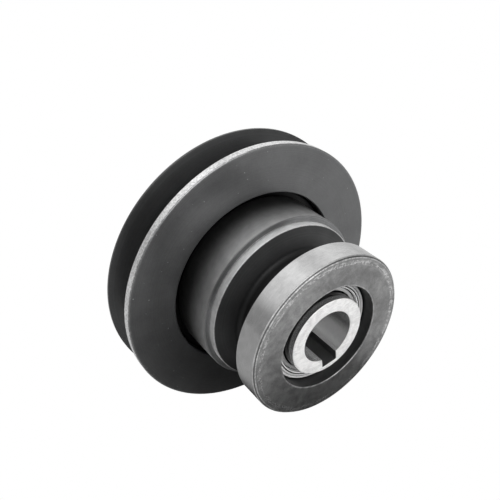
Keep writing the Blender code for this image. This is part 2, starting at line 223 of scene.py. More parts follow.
# ================================================================ material helpers
class Nodes:
    """Builds a material's node tree; a value is a socket or a plain number."""

    def __init__(self, name):
        self.material = bpy.data.materials.new(name)
        self.material.use_nodes = True
        self.tree = self.material.node_tree
        self.tree.nodes.clear()
        self.output = self.tree.nodes.new("ShaderNodeOutputMaterial")
        self.shader = self.tree.nodes.new("ShaderNodeBsdfPrincipled")
        self.tree.links.new(self.shader.outputs[0], self.output.inputs["Surface"])

    def put(self, socket, value):
        if isinstance(value, bpy.types.NodeSocket):
            self.tree.links.new(value, socket)
        elif value is not None:
            socket.default_value = value

    def math(self, operation, a, b=None, c=None, clamp=False):
        node = self.tree.nodes.new("ShaderNodeMath")
        node.operation = operation
        node.use_clamp = clamp
        for socket, value in zip(node.inputs, (a, b, c)):
            self.put(socket, value)
        return node.outputs[0]

    def ramp(self, value, low, high, to_low=0.0, to_high=1.0, soft=True):
        """value from low..high mapped smoothly to to_low..to_high."""
        node = self.tree.nodes.new("ShaderNodeMapRange")
        node.interpolation_type = "SMOOTHSTEP" if soft else "LINEAR"
        for key, v in (("Value", value), ("From Min", low), ("From Max", high), ("To Min", to_low), ("To Max", to_high)):
            self.put(node.inputs[key], v)
        return node.outputs[0]

    def place(self):
        """Object coordinates in millimetres: the vector, the radius from the axis and the station."""
        coordinates = self.tree.nodes.new("ShaderNodeTexCoord")
        scale = self.tree.nodes.new("ShaderNodeVectorMath")
        scale.operation = "SCALE"
        self.tree.links.new(coordinates.outputs["Object"], scale.inputs[0])
        scale.inputs["Scale"].default_value = 1000.0
        split = self.tree.nodes.new("ShaderNodeSeparateXYZ")
        self.tree.links.new(scale.outputs[0], split.inputs[0])
        x, y, z = split.outputs
        r = self.math("SQRT", self.math("ADD", self.math("MULTIPLY", x, x), self.math("MULTIPLY", z, z)))
        s = self.math("SUBTRACT", FACE_Y / MM, y)
        return scale.outputs[0], r, s, (x, y, z)

    def noise(self, vector, scale, detail=3.0, roughness=0.55, distortion=0.0):
        node = self.tree.nodes.new("ShaderNodeTexNoise")
        self.put(node.inputs["Vector"], vector)
        for key, v in (("Scale", scale), ("Detail", detail), ("Roughness", roughness), ("Distortion", distortion)):
            node.inputs[key].default_value = v
        return node.outputs["Fac"]

    def lines(self, value, scale, detail=2.0, roughness=0.6):
        """Noise along one number only, as a tool leaves in a turned face."""
        node = self.tree.nodes.new("ShaderNodeTexNoise")
        node.noise_dimensions = "1D"
        self.put(node.inputs["W"], value)
        for key, v in (("Scale", scale), ("Detail", detail), ("Roughness", roughness)):
            node.inputs[key].default_value = v
        return node.outputs["Fac"]

    def stretched(self, vector, by):
        node = self.tree.nodes.new("ShaderNodeMapping")
        self.put(node.inputs["Vector"], vector)
        node.inputs["Scale"].default_value = by
        return node.outputs[0]

    def polar(self, xyz, r, s, along):
        """(angle x along, r, s): a vector whose first part runs round the axis, for marks that follow the lathe."""
        x, _, z = xyz
        angle = self.math("ARCTAN2", x, z)
        join = self.tree.nodes.new("ShaderNodeCombineXYZ")
        self.put(join.inputs[0], self.math("MULTIPLY", angle, along))
        self.put(join.inputs[1], r)
        self.put(join.inputs[2], s)
        return join.outputs[0]

    def cells(self, vector, scale, randomness=1.0):
        node = self.tree.nodes.new("ShaderNodeTexVoronoi")
        node.feature = "F1"
        self.put(node.inputs["Vector"], vector)
        node.inputs["Scale"].default_value = scale
        node.inputs["Randomness"].default_value = randomness
        return node.outputs["Distance"]

    def mix(self, factor, a, b):
        """Two colours, each (r, g, b) or a socket."""
        node = self.tree.nodes.new("ShaderNodeMix")
        node.data_type = "RGBA"
        self.put(node.inputs[0], factor)
        for socket, value in ((node.inputs[6], a), (node.inputs[7], b)):
            self.put(socket, value if isinstance(value, bpy.types.NodeSocket) else (*value, 1.0))
        return node.outputs[2]

    def shade(self, colour, by):
        """The colour multiplied by a number."""
        node = self.tree.nodes.new("ShaderNodeVectorMath")
        node.operation = "SCALE"
        self.put(node.inputs[0], colour)
        self.put(node.inputs["Scale"], by)
        return node.outputs[0]

    def bump(self, height, strength, distance, before=None):
        node = self.tree.nodes.new("ShaderNodeBump")
        node.inputs["Strength"].default_value = strength
        node.inputs["Distance"].default_value = distance * MM
        self.put(node.inputs["Height"], height)
        self.put(node.inputs["Normal"], before)
        return node.outputs[0]

    def finish(self, colour, roughness, metallic, normal=None, **constants):
        self.put(self.shader.inputs["Base Color"], colour)
        self.put(self.shader.inputs["Roughness"], roughness)
        self.put(self.shader.inputs["Metallic"], metallic)
        self.put(self.shader.inputs["Normal"], normal)
        for key, value in constants.items():
            self.shader.inputs[key].default_value = value
        return self.material


def grey(value, warm=0.0):
    return (value * (1 + warm), value, value * (1 - warm))


# ================================================================ materials
def turned_steel(n, vector, blotch, streaks, marks, tone):
    """The colour of bare turned steel: rings and streaks left by the tool over slow stains."""
    shade = n.math("MULTIPLY_ADD", streaks, 0.24, n.math("MULTIPLY_ADD", marks, 0.20, 0.76))
    return n.shade(grey(tone), n.math("MULTIPLY", shade, n.ramp(blotch, 0.3, 0.7, 0.93, 1.06)))


def oxide(n, blotch, grain, marks, vector, tone):
    """The colour of blackened iron: cloudy, with fine tool rings."""
    cloudy = n.math("MULTIPLY_ADD", blotch, 0.5, n.math("MULTIPLY_ADD", grain, 0.34, 0.58))
    colour = n.shade(grey(tone, -0.010), n.math("MULTIPLY", cloudy, n.ramp(marks, 0.3, 0.7, 0.93, 1.07)))
    return colour


def blend(n, factor, a, b):
    """Two numbers mixed by a factor: a where it is 0, b where it is 1."""
    return n.math("ADD", n.math("MULTIPLY", b, factor), n.math("MULTIPLY", a, n.math("SUBTRACT", 1.0, factor)))


def large_pulley_finish(name):
    """Blackened all over, with the narrow rims turned bright and worn at their corners; the groove and the lower left
    of the front face carry painted shade.
    """
    n = Nodes(name)
    vector, r, s, xyz = n.place()
    blotch = n.noise(vector, 0.10, 4.0, 0.6)
    grain = n.noise(vector, 1.9, 4.0, 0.65)
    fine = n.noise(vector, 6.5, 3.0, 0.6)
    marks = n.lines(n.math("ADD", r, s), 3.1, 3.0, 0.7)
    streaks = n.noise(n.polar(xyz, r, s, 30.0), 0.9, 4.0, 0.7)
    rough_edge = n.math("SUBTRACT", n.noise(vector, 1.5, 5.0, 0.75), 0.5)
    radius = n.math("MULTIPLY_ADD", rough_edge, RIM_FUZZ, r)
    ragged = n.math("MULTIPLY_ADD", n.math("SUBTRACT", n.noise(vector, 0.8, 6.0, 0.75), 0.5), 1.5, s)
    rim = n.math("MULTIPLY", n.ramp(radius, LARGE_R - 0.30, LARGE_R - 0.14), n.ramp(ragged, -0.22, -0.52))
    rim = n.math("MULTIPLY", rim, n.math("MAXIMUM", n.ramp(ragged, LARGE_GROOVE_FRONT - 0.25, LARGE_GROOVE_FRONT + 0.05), n.ramp(ragged, -16.3, -17.0, 0.0, 0.10)))
    groove = n.math("MULTIPLY", n.ramp(s, -2.9, -3.3), n.ramp(s, -17.35, -17.15))
    # Real wear on the outer corners of the rims.
    wear_and_painted_shade = n.math("MULTIPLY", n.ramp(radius, LARGE_R - 1.1, LARGE_R - 0.3), n.ramp(fine, 0.42, 0.62, 0.10, 0.55))
    wear_and_painted_shade = n.math("MULTIPLY", wear_and_painted_shade, n.math("MULTIPLY", n.ramp(s, -15.9, -14.9), n.math("SUBTRACT", 1.0, n.math("MULTIPLY", groove, 0.7))))
    bare = n.math("MAXIMUM", rim, n.math("MULTIPLY", wear_and_painted_shade, 0.45))
    # Painted shade: inside the groove the oxide is darkened, more towards the rim.
    dark = n.shade(oxide(n, blotch, grain, marks, vector, OXIDE), blend(n, groove, 1.0, n.ramp(r, LARGE_GROOVE_FLOOR_R + 4.0, LARGE_R - 2.0, 0.62, 0.38)))
    specks = n.math("MULTIPLY", n.ramp(n.noise(vector, 1.15, 1.0, 0.5), 0.775, 0.81), n.math("SUBTRACT", 1.0, groove))
    x, _, z = xyz
    # Painted shade: the front face is darkened towards its lower left, where the small pulley's shadow falls.
    shaded_low_left = n.math("DIVIDE", n.math("MULTIPLY_ADD", x, -0.866, n.math("MULTIPLY", z, -0.5)), r)
    dark = n.shade(dark, blend(n, groove, n.ramp(shaded_low_left, 0.3, 1.0, 1.0, 0.78), 1.0))
    dark = n.mix(n.math("MULTIPLY", specks, 0.55), dark, grey(0.80))
    bright = turned_steel(n, vector, blotch, streaks, fine, RIM_STEEL)
    bright = n.shade(bright, n.ramp(n.noise(vector, 1.3, 3.0, 0.7), 0.32, 0.68, 0.72, 1.25))
    colour = n.mix(bare, dark, bright)
    roughness = blend(n, bare, n.math("MULTIPLY_ADD", grain, 0.14, OXIDE_ROUGH), n.math("MULTIPLY_ADD", fine, 0.20, 0.30))
    metallic = n.ramp(bare, 0.0, 1.0, 0.85, 1.0, soft=False)
    height = n.math("ADD", n.math("MULTIPLY", marks, 0.5), n.math("ADD", n.math("MULTIPLY", grain, 0.5), n.math("MULTIPLY", fine, 0.5)))
    return n.finish(colour, roughness, metallic, n.bump(height, 0.35, 0.03))


def small_pulley_finish(name):
    """Blackened grooves, step and hole, a satin drum painted dark towards the large pulley as shade, and a bright lip
    and flange.
    """
    n = Nodes(name)
    vector, r, s, xyz = n.place()
    blotch = n.noise(vector, 0.12, 4.0, 0.6)
    cloud = n.noise(vector, 0.33, 4.0, 0.55, 0.4)
    grain = n.noise(vector, 1.9, 4.0, 0.65)
    fine = n.noise(vector, 7.0, 2.0, 0.5)
    marks = n.lines(n.math("ADD", r, s), 3.4, 3.0, 0.7)
    streaks = n.noise(n.polar(xyz, r, s, 14.0), 0.8, 3.0, 0.6)
    wander = n.math("MULTIPLY_ADD", n.math("SUBTRACT", n.noise(vector, 0.9, 4.0, 0.7), 0.5), 0.5, s)

    def band(value, low, high, soft):
        return n.math("MULTIPLY", n.ramp(value, low - soft, low + soft), n.ramp(value, high + soft, high - soft))

    outside = n.ramp(r, LIP_R - 0.45, LIP_R - 0.15)
    drum = n.math("MULTIPLY", n.ramp(r, DRUM_R - 0.28, DRUM_R - 0.10), n.ramp(s, DRUM_FRONT - 0.05, DRUM_FRONT - 0.75))
    lip = n.math("MULTIPLY", outside, band(wander, LIP_START, SMALL_GROOVE_REAR + 0.2, 0.30))
    lip = n.math("MULTIPLY", lip, n.ramp(s, DRUM_FRONT, DRUM_FRONT + 0.3))
    flange = n.math("MULTIPLY", outside, n.ramp(s, SMALL_GROOVE_FRONT - 0.08, SMALL_GROOVE_FRONT + 0.10))
    pocket = n.math("MULTIPLY", n.ramp(r, POCKET_R + 1.4, POCKET_R + 1.2), n.ramp(s, POCKET_FRONT + 0.5, POCKET_FRONT + 0.3))
    bare = n.math("MAXIMUM", lip, n.math("MAXIMUM", flange, n.math("MULTIPLY", pocket, 0.8)))
    step = n.math("MULTIPLY", n.ramp(r, LIP_R - 0.1, LIP_R + 0.1), band(s, DRUM_FRONT - 0.2, LIP_START, 0.15))
    dark = oxide(n, blotch, grain, marks, vector, 1.0)
    x, _, z = xyz
    # Painted reflection: the step is drawn dark on its upper left and lighter round the rest.
    step_dark_reflection = n.ramp(n.math("DIVIDE", n.math("MULTIPLY_ADD", x, -0.53, n.math("MULTIPLY", z, 0.85)), r), 0.72, 0.92)
    step_dark_reflection = n.math("MULTIPLY_ADD", step_dark_reflection, -1.7, 2.6)
    dark = n.shade(dark, blend(n, step, GROOVE_OXIDE, n.math("MULTIPLY", step_dark_reflection, STEP_OXIDE)))
    # Painted shade: the oxide is darkened towards the groove's floor and again from the groove's middle outwards, and
    # the hole wall is lifted back out of that shade.
    dark = n.shade(dark, n.ramp(r, SMALL_GROOVE_FLOOR_R + 0.5, SMALL_GROOVE_FLOOR_R + 2.2, 0.35, 1.25))
    dark = n.shade(dark, n.ramp(r, 26.5, 30.5, 1.0, 0.75))
    dark = n.shade(dark, n.ramp(r, SMALL_HOLE_R + 0.15, SMALL_HOLE_R + 0.5, 3.0, 1.0))
    # Painted shade: the drum's colour runs from near black by the large pulley to grey at its front.
    satin = n.shade(turned_steel(n, vector, cloud, streaks, marks, 1.0), n.ramp(s, 2.2, DRUM_FRONT + 0.5, DRUM_SHADE_TONE, DRUM_STEEL))
    bright = n.shade(turned_steel(n, vector, cloud, streaks, marks, 1.0), n.ramp(lip, 0.0, 1.0, FLANGE_STEEL, LIP_STEEL, soft=False))
    colour = n.mix(bare, n.mix(drum, dark, satin), bright)
    # Painted shade: the whole pulley is darkened on its left side.
    shaded_side = n.math("DIVIDE", n.math("MULTIPLY_ADD", x, -0.996, n.math("MULTIPLY", z, 0.087)), r)
    colour = n.shade(colour, n.ramp(shaded_side, 0.84, 0.97, 1.0, 0.74))
    worked = n.math("MAXIMUM", bare, drum)
    polish = blend(n, lip, blend(n, drum, FLANGE_ROUGH, DRUM_ROUGH), LIP_ROUGH)
    roughness = blend(n, worked, n.math("MULTIPLY_ADD", grain, 0.14, OXIDE_ROUGH + 0.12), n.math("MULTIPLY_ADD", cloud, 0.08, polish))
    metallic = n.ramp(worked, 0.0, 1.0, 0.85, 1.0, soft=False)
    height = n.math("ADD", n.math("MULTIPLY", marks, 0.6), n.math("ADD", n.math("MULTIPLY", grain, 0.4), n.math("MULTIPLY", fine, 0.3)))
    return n.finish(colour, roughness, metallic, n.bump(height, 0.12, 0.03))


def sleeve_finish(name):
    """A pale milled end face with grey smudges, a dull ground outside painted dark deeper in as shade, and a smooth
    bore painted darker on its upper right as shade.
    """
    n = Nodes(name)
    vector, r, s, xyz = n.place()
    smudge = n.noise(vector, 0.28, 4.0, 0.62, 0.8)
    grain = n.noise(vector, 3.2, 4.0, 0.7)
    speckle = n.noise(vector, 5.5, 2.0, 0.5)
    rings = n.lines(n.math("ADD", r, s), 4.2, 3.0, 0.7)
    streaks = n.noise(n.polar(xyz, r, s, 9.0), 1.2, 3.0, 0.6)
    milled = n.noise(n.stretched(vector, (0.5, 1.0, 2.4)), 1.1, 4.0, 0.7)
    face = n.ramp(s, SLEEVE_FRONT - 0.34, SLEEVE_FRONT - 0.14)
    outside = n.math("MULTIPLY", n.ramp(r, SLEEVE_R - 0.5, SLEEVE_R - 0.2), n.math("SUBTRACT", 1.0, face))
    pale = n.shade(grey(SLEEVE_FACE, 0.006), n.math("MULTIPLY", n.ramp(smudge, 0.30, 0.62, 0.84, 1.05), n.math("MULTIPLY", n.ramp(milled, 0.35, 0.65, 0.90, 1.05), n.ramp(grain, 0.3, 0.7, 0.94, 1.05))))
    x, _, z = xyz
    # Painted shade: the bore is darkened on its upper right.
    wear_and_painted_shade = n.ramp(n.math("DIVIDE", n.math("MULTIPLY_ADD", x, 0.906, n.math("MULTIPLY", z, 0.423)), r), 0.50, 0.98, 1.0, 0.55)
    bore = n.shade(grey(SLEEVE_BORE), n.math("MULTIPLY", wear_and_painted_shade, n.math("MULTIPLY_ADD", streaks, 0.26, n.math("MULTIPLY_ADD", rings, 0.12, 0.80))))
    dull = n.shade(grey(SLEEVE_OUTSIDE), n.math("MULTIPLY", n.ramp(speckle, 0.3, 0.7, 0.70, 1.30), n.math("MULTIPLY_ADD", streaks, 0.3, 0.85)))
    # Painted shade: the outside is darkened nearly to black more than about 2 mm behind the front face, down in the
    # gap.
    dull = n.shade(dull, n.ramp(s, SLEEVE_FRONT - 2.7, SLEEVE_FRONT - 1.9, 0.10, 1.0))
    colour = n.mix(face, n.mix(outside, bore, dull), pale)
    roughness = blend(n, face, n.math("MULTIPLY_ADD", streaks, 0.12, 0.16), n.math("MULTIPLY_ADD", grain, 0.16, 0.42))
    metallic = n.mix(face, (0.85, 0.85, 0.85), (SLEEVE_METAL,) * 3)
    height = n.math("ADD", n.math("MULTIPLY", rings, 0.5), n.math("ADD", n.math("MULTIPLY", grain, 0.9), n.math("MULTIPLY", speckle, 0.4)))
    return n.finish(colour, roughness, metallic, n.bump(height, 0.40, 0.03))


def needle_ring_finish(name):
    """Ground steel on each end face: an inner edge painted white as a highlight, a grey outer band, its two grooves
    painted dark as shade, and the outer edge painted dark as shade.
    """
    n = Nodes(name)
    vector, r, s, xyz = n.place()
    arcs = n.lines(r, 3.6, 3.0, 0.75)
    streaks = n.noise(n.polar(xyz, n.math("MULTIPLY", r, 2.5), s, 7.0), 1.1, 4.0, 0.65)
    grain = n.noise(vector, 3.0, 3.0, 0.6)
    inner = n.ramp(r, 17.50, 17.30)
    band = n.math("MULTIPLY", n.ramp(arcs, 0.30, 0.70, 0.72, 1.20), n.math("MULTIPLY_ADD", streaks, 0.5, 0.72))
    # Painted highlight: the inner edge is drawn white.
    colour = n.mix(inner, n.shade(grey(NEEDLE_GREY), band), n.shade(grey(NEEDLE_HIGHLIGHT_TONE), n.math("MULTIPLY_ADD", streaks, 0.24, 0.88)))
    # Painted shade: the two grooves in the end face are drawn near black.
    inner_groove_shade = n.math("MULTIPLY", n.ramp(r, 17.42, 17.50), n.ramp(r, 17.92, 17.82))
    outer_groove_shade = n.math("MULTIPLY", n.math("MULTIPLY", n.ramp(r, 18.48, 18.58), n.ramp(r, 18.80, 18.70)), 0.6)
    colour = n.mix(n.math("MAXIMUM", inner_groove_shade, outer_groove_shade), colour, grey(0.02))
    # Painted shade: the outer edge, in the corner by the hole wall, is drawn near black.
    colour = n.mix(n.ramp(r, 19.30, 19.55), colour, grey(0.05))
    roughness = n.math("MULTIPLY_ADD", streaks, 0.18, n.math("MULTIPLY_ADD", grain, 0.08, 0.30))
    height = n.math("ADD", arcs, n.math("MULTIPLY", grain, 0.4))
    return n.finish(colour, roughness, NEEDLE_METAL, n.bump(height, 0.5, 0.03))


def steel_finish(name, tone=0.6, rough=0.28, grain_size=2.4, marks=0.22, metallic=1.0, streak_size=1.2, bump=0.25):
    """Turned or ground steel: fine rings left by the tool, faint streaks along them, and small stains."""
    n = Nodes(name)
    vector, r, s, xyz = n.place()
    rings = n.lines(n.math("ADD", r, s), 4.2, 3.0, 0.7)
    streaks = n.noise(n.polar(xyz, r, s, 6.0), streak_size, 3.0, 0.6)
    grain = n.noise(vector, grain_size, 4.0, 0.65)
    stain = n.noise(vector, 0.16, 3.0, 0.55)
    tone_now = n.math("MULTIPLY_ADD", rings, marks, n.math("MULTIPLY_ADD", streaks, marks, 1.0 - marks))
    tone_now = n.math("MULTIPLY", tone_now, n.ramp(stain, 0.3, 0.7, 0.90, 1.05))
    tone_now = n.math("MULTIPLY", tone_now, n.ramp(grain, 0.25, 0.75, 0.94, 1.05))
    colour = n.shade(grey(tone), tone_now)
    roughness = n.math("MULTIPLY_ADD", streaks, 0.16, n.math("MULTIPLY_ADD", grain, 0.08, rough - 0.10))
    height = n.math("ADD", rings, n.math("MULTIPLY", grain, 0.5))
    return n.finish(colour, roughness, metallic, n.bump(height, bump, 0.02))


def flange_face_finish(name):
    """The small pulley's front face: faced steel gone grey, blotched, scuffed near its rim, with a dark bevel outside a pale edge."""
    n = Nodes(name)
    vector, r, s, xyz = n.place()
    blotch = n.noise(vector, 0.13, 5.0, 0.62, 0.6)
    cloud = n.noise(vector, 0.55, 5.0, 0.65)
    grain = n.noise(vector, 2.6, 4.0, 0.7)
    rings = n.lines(r, 5.0, 3.0, 0.75)
    ticks = n.noise(n.polar(xyz, n.math("MULTIPLY", r, 0.9), s, 34.0), 1.0, 4.0, 0.7)
    arcs = n.noise(n.polar(xyz, n.math("MULTIPLY", r, 3.6), s, 5.0), 1.0, 4.0, 0.7)
    rough_edge = n.math("MULTIPLY_ADD", n.math("SUBTRACT", n.noise(vector, 1.6, 4.0, 0.7), 0.5), 0.16, r)
    near_rim = n.math("MULTIPLY", n.ramp(rough_edge, 27.9, 28.5), n.ramp(rough_edge, 30.1, 29.5))
    edge = n.math("MULTIPLY", n.ramp(rough_edge, SMALL_R - 1.02, SMALL_R - 0.88), n.ramp(rough_edge, SMALL_R - 0.54, SMALL_R - 0.62))
    bevel = n.math("MULTIPLY", n.ramp(rough_edge, SMALL_R - 0.62, SMALL_R - 0.54), n.ramp(rough_edge, SMALL_R - 0.20, SMALL_R - 0.30))
    outer = n.ramp(rough_edge, SMALL_R - 0.34, SMALL_R - 0.20)
    near_hole = n.ramp(rough_edge, SMALL_HOLE_R + 0.75, SMALL_HOLE_R + 0.20)
    tone = n.ramp(blotch, 0.34, 0.66, 0.80, 1.20)
    tone = n.math("MULTIPLY", tone, n.ramp(cloud, 0.36, 0.64, 0.90, 1.10))
    tone = n.math("MULTIPLY", tone, n.ramp(grain, 0.3, 0.7, 0.92, 1.09))
    tone = n.math("MULTIPLY", tone, n.ramp(rings, 0.3, 0.7, 0.95, 1.05))
    x, _, z = xyz
    # Painted light: the face is lightened towards its left.
    left = n.math("DIVIDE", n.math("MULTIPLY_ADD", x, -0.94, n.math("MULTIPLY", z, 0.34)), r)
    tone = n.math("MULTIPLY", tone, n.ramp(left, 0.50, 0.98, 0.95, 1.20))
    scuffs = n.math("MULTIPLY", n.ramp(n.math("MULTIPLY_ADD", arcs, 0.40, n.math("MULTIPLY", ticks, 0.60)), 0.47, 0.58), near_rim)
    bright = n.math("MAXIMUM", n.math("MULTIPLY", scuffs, 0.66), n.math("MAXIMUM", n.math("MULTIPLY", near_hole, n.ramp(cloud, 0.38, 0.60, 0.15, 0.60)), n.math("MULTIPLY", edge, n.ramp(ticks, 0.42, 0.58, 0.05, 0.50))))
    colour = n.mix(bright, n.shade(grey(FACE_STEEL), tone), grey(0.85))
    colour = n.mix(outer, n.mix(bevel, colour, n.shade(grey(0.10), tone)), n.shade(grey(0.40), tone))
    # Painted shade: the rounded edge of the hole is darkened.
    colour = n.shade(colour, n.ramp(r, SMALL_HOLE_R + 0.12, SMALL_HOLE_R + 0.28, 0.45, 1.0))
    roughness = n.math("MULTIPLY_ADD", cloud, 0.16, n.math("MULTIPLY_ADD", scuffs, -0.08, n.ramp(r, SMALL_R - 0.95, SMALL_R - 0.80, 0.24, 0.45)))
    height = n.math("ADD", n.math("MULTIPLY", rings, 0.7), n.math("ADD", n.math("MULTIPLY", grain, 0.8), scuffs))
    return n.finish(colour, roughness, 0.9, n.bump(height, 0.35, 0.03))


def rubber_finish(name):
    n = Nodes(name)
    vector, r, s, xyz = n.place()
    dust = n.noise(vector, 0.35, 4.0, 0.6)
    grain = n.noise(vector, 5.0, 3.0, 0.6)
    colour = n.shade(grey(0.022), n.math("MULTIPLY_ADD", dust, 1.1, n.math("MULTIPLY_ADD", grain, 0.4, 0.35)))
    roughness = n.math("MULTIPLY_ADD", dust, 0.22, 0.46)
    return n.finish(colour, roughness, 0.0, n.bump(grain, 0.3, 0.02))


def spring_finish(name):
    """Phosphated spring steel, worn bright on its high spots."""
    n = Nodes(name)
    vector, r, s, xyz = n.place()
    blotch = n.noise(vector, 0.5, 4.0, 0.6)
    grain = n.noise(vector, 4.0, 3.0, 0.6)
    rub = n.ramp(n.math("ADD", blotch, n.math("MULTIPLY", grain, 0.30)), 0.50, 0.95)
    colour = n.mix(n.math("MULTIPLY", rub, 0.35), n.shade(grey(0.085, -0.02), n.math("MULTIPLY_ADD", blotch, 0.7, 0.6)), grey(0.32))
    roughness = n.math("MULTIPLY_ADD", grain, 0.18, 0.34)
    return n.finish(colour, roughness, 0.9, n.bump(grain, 0.25, 0.015))


def ball_finish(name, band=True):
    """Polished bearing steel with a faint haze and fine scratches. The coordinates are the piece's own."""
    n = Nodes(name)
    coordinates = n.tree.nodes.new("ShaderNodeTexCoord")
    scale = n.tree.nodes.new("ShaderNodeVectorMath")
    scale.operation = "SCALE"
    n.tree.links.new(coordinates.outputs["Object"], scale.inputs[0])
    scale.inputs["Scale"].default_value = 1000.0
    vector = scale.outputs[0]
    split = n.tree.nodes.new("ShaderNodeSeparateXYZ")
    n.tree.links.new(vector, split.inputs[0])
    haze = n.noise(vector, 0.6, 3.0, 0.6)
    scratch = n.noise(n.stretched(vector, (0.4, 7.0, 0.4)), 1.4, 3.0, 0.6)
    colour = n.shade(grey(0.66), n.math("MULTIPLY_ADD", haze, 0.22, n.math("MULTIPLY_ADD", scratch, 0.12, 0.78)))
    roughness = n.math("MULTIPLY_ADD", haze, 0.10, n.math("MULTIPLY_ADD", scratch, 0.08, 0.07))
    return n.finish(colour, roughness, 1.0, n.bump(scratch, 0.08, 0.006))


def material_set():
    made = {}
    made["large"] = large_pulley_finish("large_pulley_finish")
    made["drum"] = small_pulley_finish("small_pulley_finish")
    made["flange_face"] = flange_face_finish("small_pulley_face_finish")
    made["sleeve"] = sleeve_finish("sleeve_finish")
    # The keyway's near-black finish is painted shade.
    made["keyway"] = steel_finish("keyway_shade_finish", tone=0.060, rough=0.55, marks=0.3, metallic=0.6)
    made["needle_ring"] = needle_ring_finish("needle_ring_finish")
    # The rear bearing's outer ring, deep in the large pulley's mouth, is drawn near black as painted shade.
    made["painted_shade_ring"] = steel_finish("shaded_ring_finish", tone=0.018, rough=0.36, marks=0.2)
    made["spacer"] = steel_finish("spacer_finish", tone=0.62, rough=0.30)
    made["ring"] = steel_finish("bearing_ring_finish", tone=0.50, rough=0.24, marks=0.16)
    made["pressed_cage"] = steel_finish("pressed_cage_finish", tone=0.58, rough=0.36, marks=0.16, metallic=0.5)
    made["cage"] = steel_finish("cage_finish", tone=0.36, rough=0.40, marks=0.20, grain_size=3.4)
    made["rubber"] = rubber_finish("seal_finish")
    made["spring"] = spring_finish("circlip_finish")
    made["ball"] = ball_finish("ball_finish")
    return made


MATERIALS = material_set()


def dress(obj, body, slot, kind, *nodes):
    obj.data.materials.clear()
    obj.data.materials.append(MATERIALS[kind])
    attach(obj, body)
    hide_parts(*nodes)
    return obj


def paint(obj, kind, test):
    """Gives the faces that pass test(r, s, normal) another of the materials."""
    mesh = obj.data
    mesh.materials.append(MATERIALS[kind])
    index = len(mesh.materials) - 1
    for face in mesh.polygons:
        c = face.center
        radius = math.hypot(c.x, c.z) / MM
        radial = (face.normal.x * c.x + face.normal.z * c.z) / max(math.hypot(c.x, c.z), 1e-9)
        if test(radius, station(c.y), radial, -face.normal.y):
            face.material_index = index


# ================================================================ keyed sleeve
def keyway_cutter():
    """The 6 mm keyway, with small corner radii at its floor and broken edges at both ends."""
    turn = math.radians(KEY_ANGLE)
    across = Vector((math.cos(turn), 0, -math.sin(turn)))
    out = Vector((math.sin(turn), 0, math.cos(turn)))

    def section(s, grow):
        half, floor, corner = KEY_WIDTH / 2 + grow, KEY_FLOOR_R + grow, 0.35
        outline = [(-half, 5.0)]
        for k in range(5):
            a = math.pi - k * math.pi / 8
            outline.append((-half + corner + corner * math.cos(a), floor - corner + corner * math.sin(a)))
        for k in range(5):
            a = math.pi / 2 - k * math.pi / 8
            outline.append((half - corner + corner * math.cos(a), floor - corner + corner * math.sin(a)))
        outline.append((half, 5.0))
        return [across * (u * MM) + out * (v * MM) + Vector((0, FACE_Y - s * MM, 0)) for u, v in outline]

    break_edge = 0.15
    return prism("keyway_cutter", [
        section(SLEEVE_FRONT + 1.0, break_edge + 1.0),
        section(SLEEVE_FRONT - break_edge, 0.0),
        section(SLEEVE_REAR + break_edge, 0.0),
        section(SLEEVE_REAR - 1.0, break_edge + 1.0),
    ])


sleeve = lathe("sleeve_turned", [
    (SLEEVE_R - 0.3, SLEEVE_FRONT, 0.08),
    (SLEEVE_R, SLEEVE_FRONT - 0.3, 0.08),
    (SLEEVE_R, 14.8, 0.05),
    (SLEEVE_R - 0.8, 14.8, 0.08),
    (SLEEVE_R - 0.8, 12.7, 0.08),
    (SLEEVE_R, 12.7, 0.05),
    (SLEEVE_R, SEAT_FRONT, 0.25),
    (SEAT_R - 0.3, SEAT_FRONT, 0.08),
    (SEAT_R, SEAT_FRONT - 0.3, 0.08),
    (SEAT_R, -20.8, 0.05),
    (SEAT_R - 1.0, -20.8, 0.08),
    (SEAT_R - 1.0, -22.8, 0.08),
    (SEAT_R, -22.8, 0.05),
    (SEAT_R, SLEEVE_REAR + 0.5, 0.1),
    (SEAT_R - 0.5, SLEEVE_REAR, 0.1),
    (BORE_R + 0.4, SLEEVE_REAR, 0.08),
    (BORE_R, SLEEVE_REAR + 0.4, 0.08),
    (BORE_R, SLEEVE_FRONT - 0.2, 0.06),
    (BORE_R + 0.2, SLEEVE_FRONT, 0.06),
], 240)
cut(sleeve, keyway_cutter())
dress(sleeve, "sleeve", "machined_steel", "sleeve", "keyed_sleeve")
turned_to_key = Vector((math.sin(math.radians(KEY_ANGLE)), 0, math.cos(math.radians(KEY_ANGLE))))
across_key = Vector((turned_to_key.z, 0, -turned_to_key.x))
# Painted shade: the keyway's faces get a near-black finish.
sleeve.data.materials.append(MATERIALS["keyway"])
for face in sleeve.data.polygons:
    c = face.center
    beside = abs(c.dot(across_key)) / MM
    outward = c.dot(turned_to_key) / MM
    if beside < KEY_WIDTH / 2 + 0.02 and outward > 9.6 and outward < KEY_FLOOR_R + 0.02 and abs(face.normal.y) < 0.3 and math.hypot(c.x, c.z) / MM > BORE_R + 0.02:
        face.material_index = 1
smooth(sleeve)

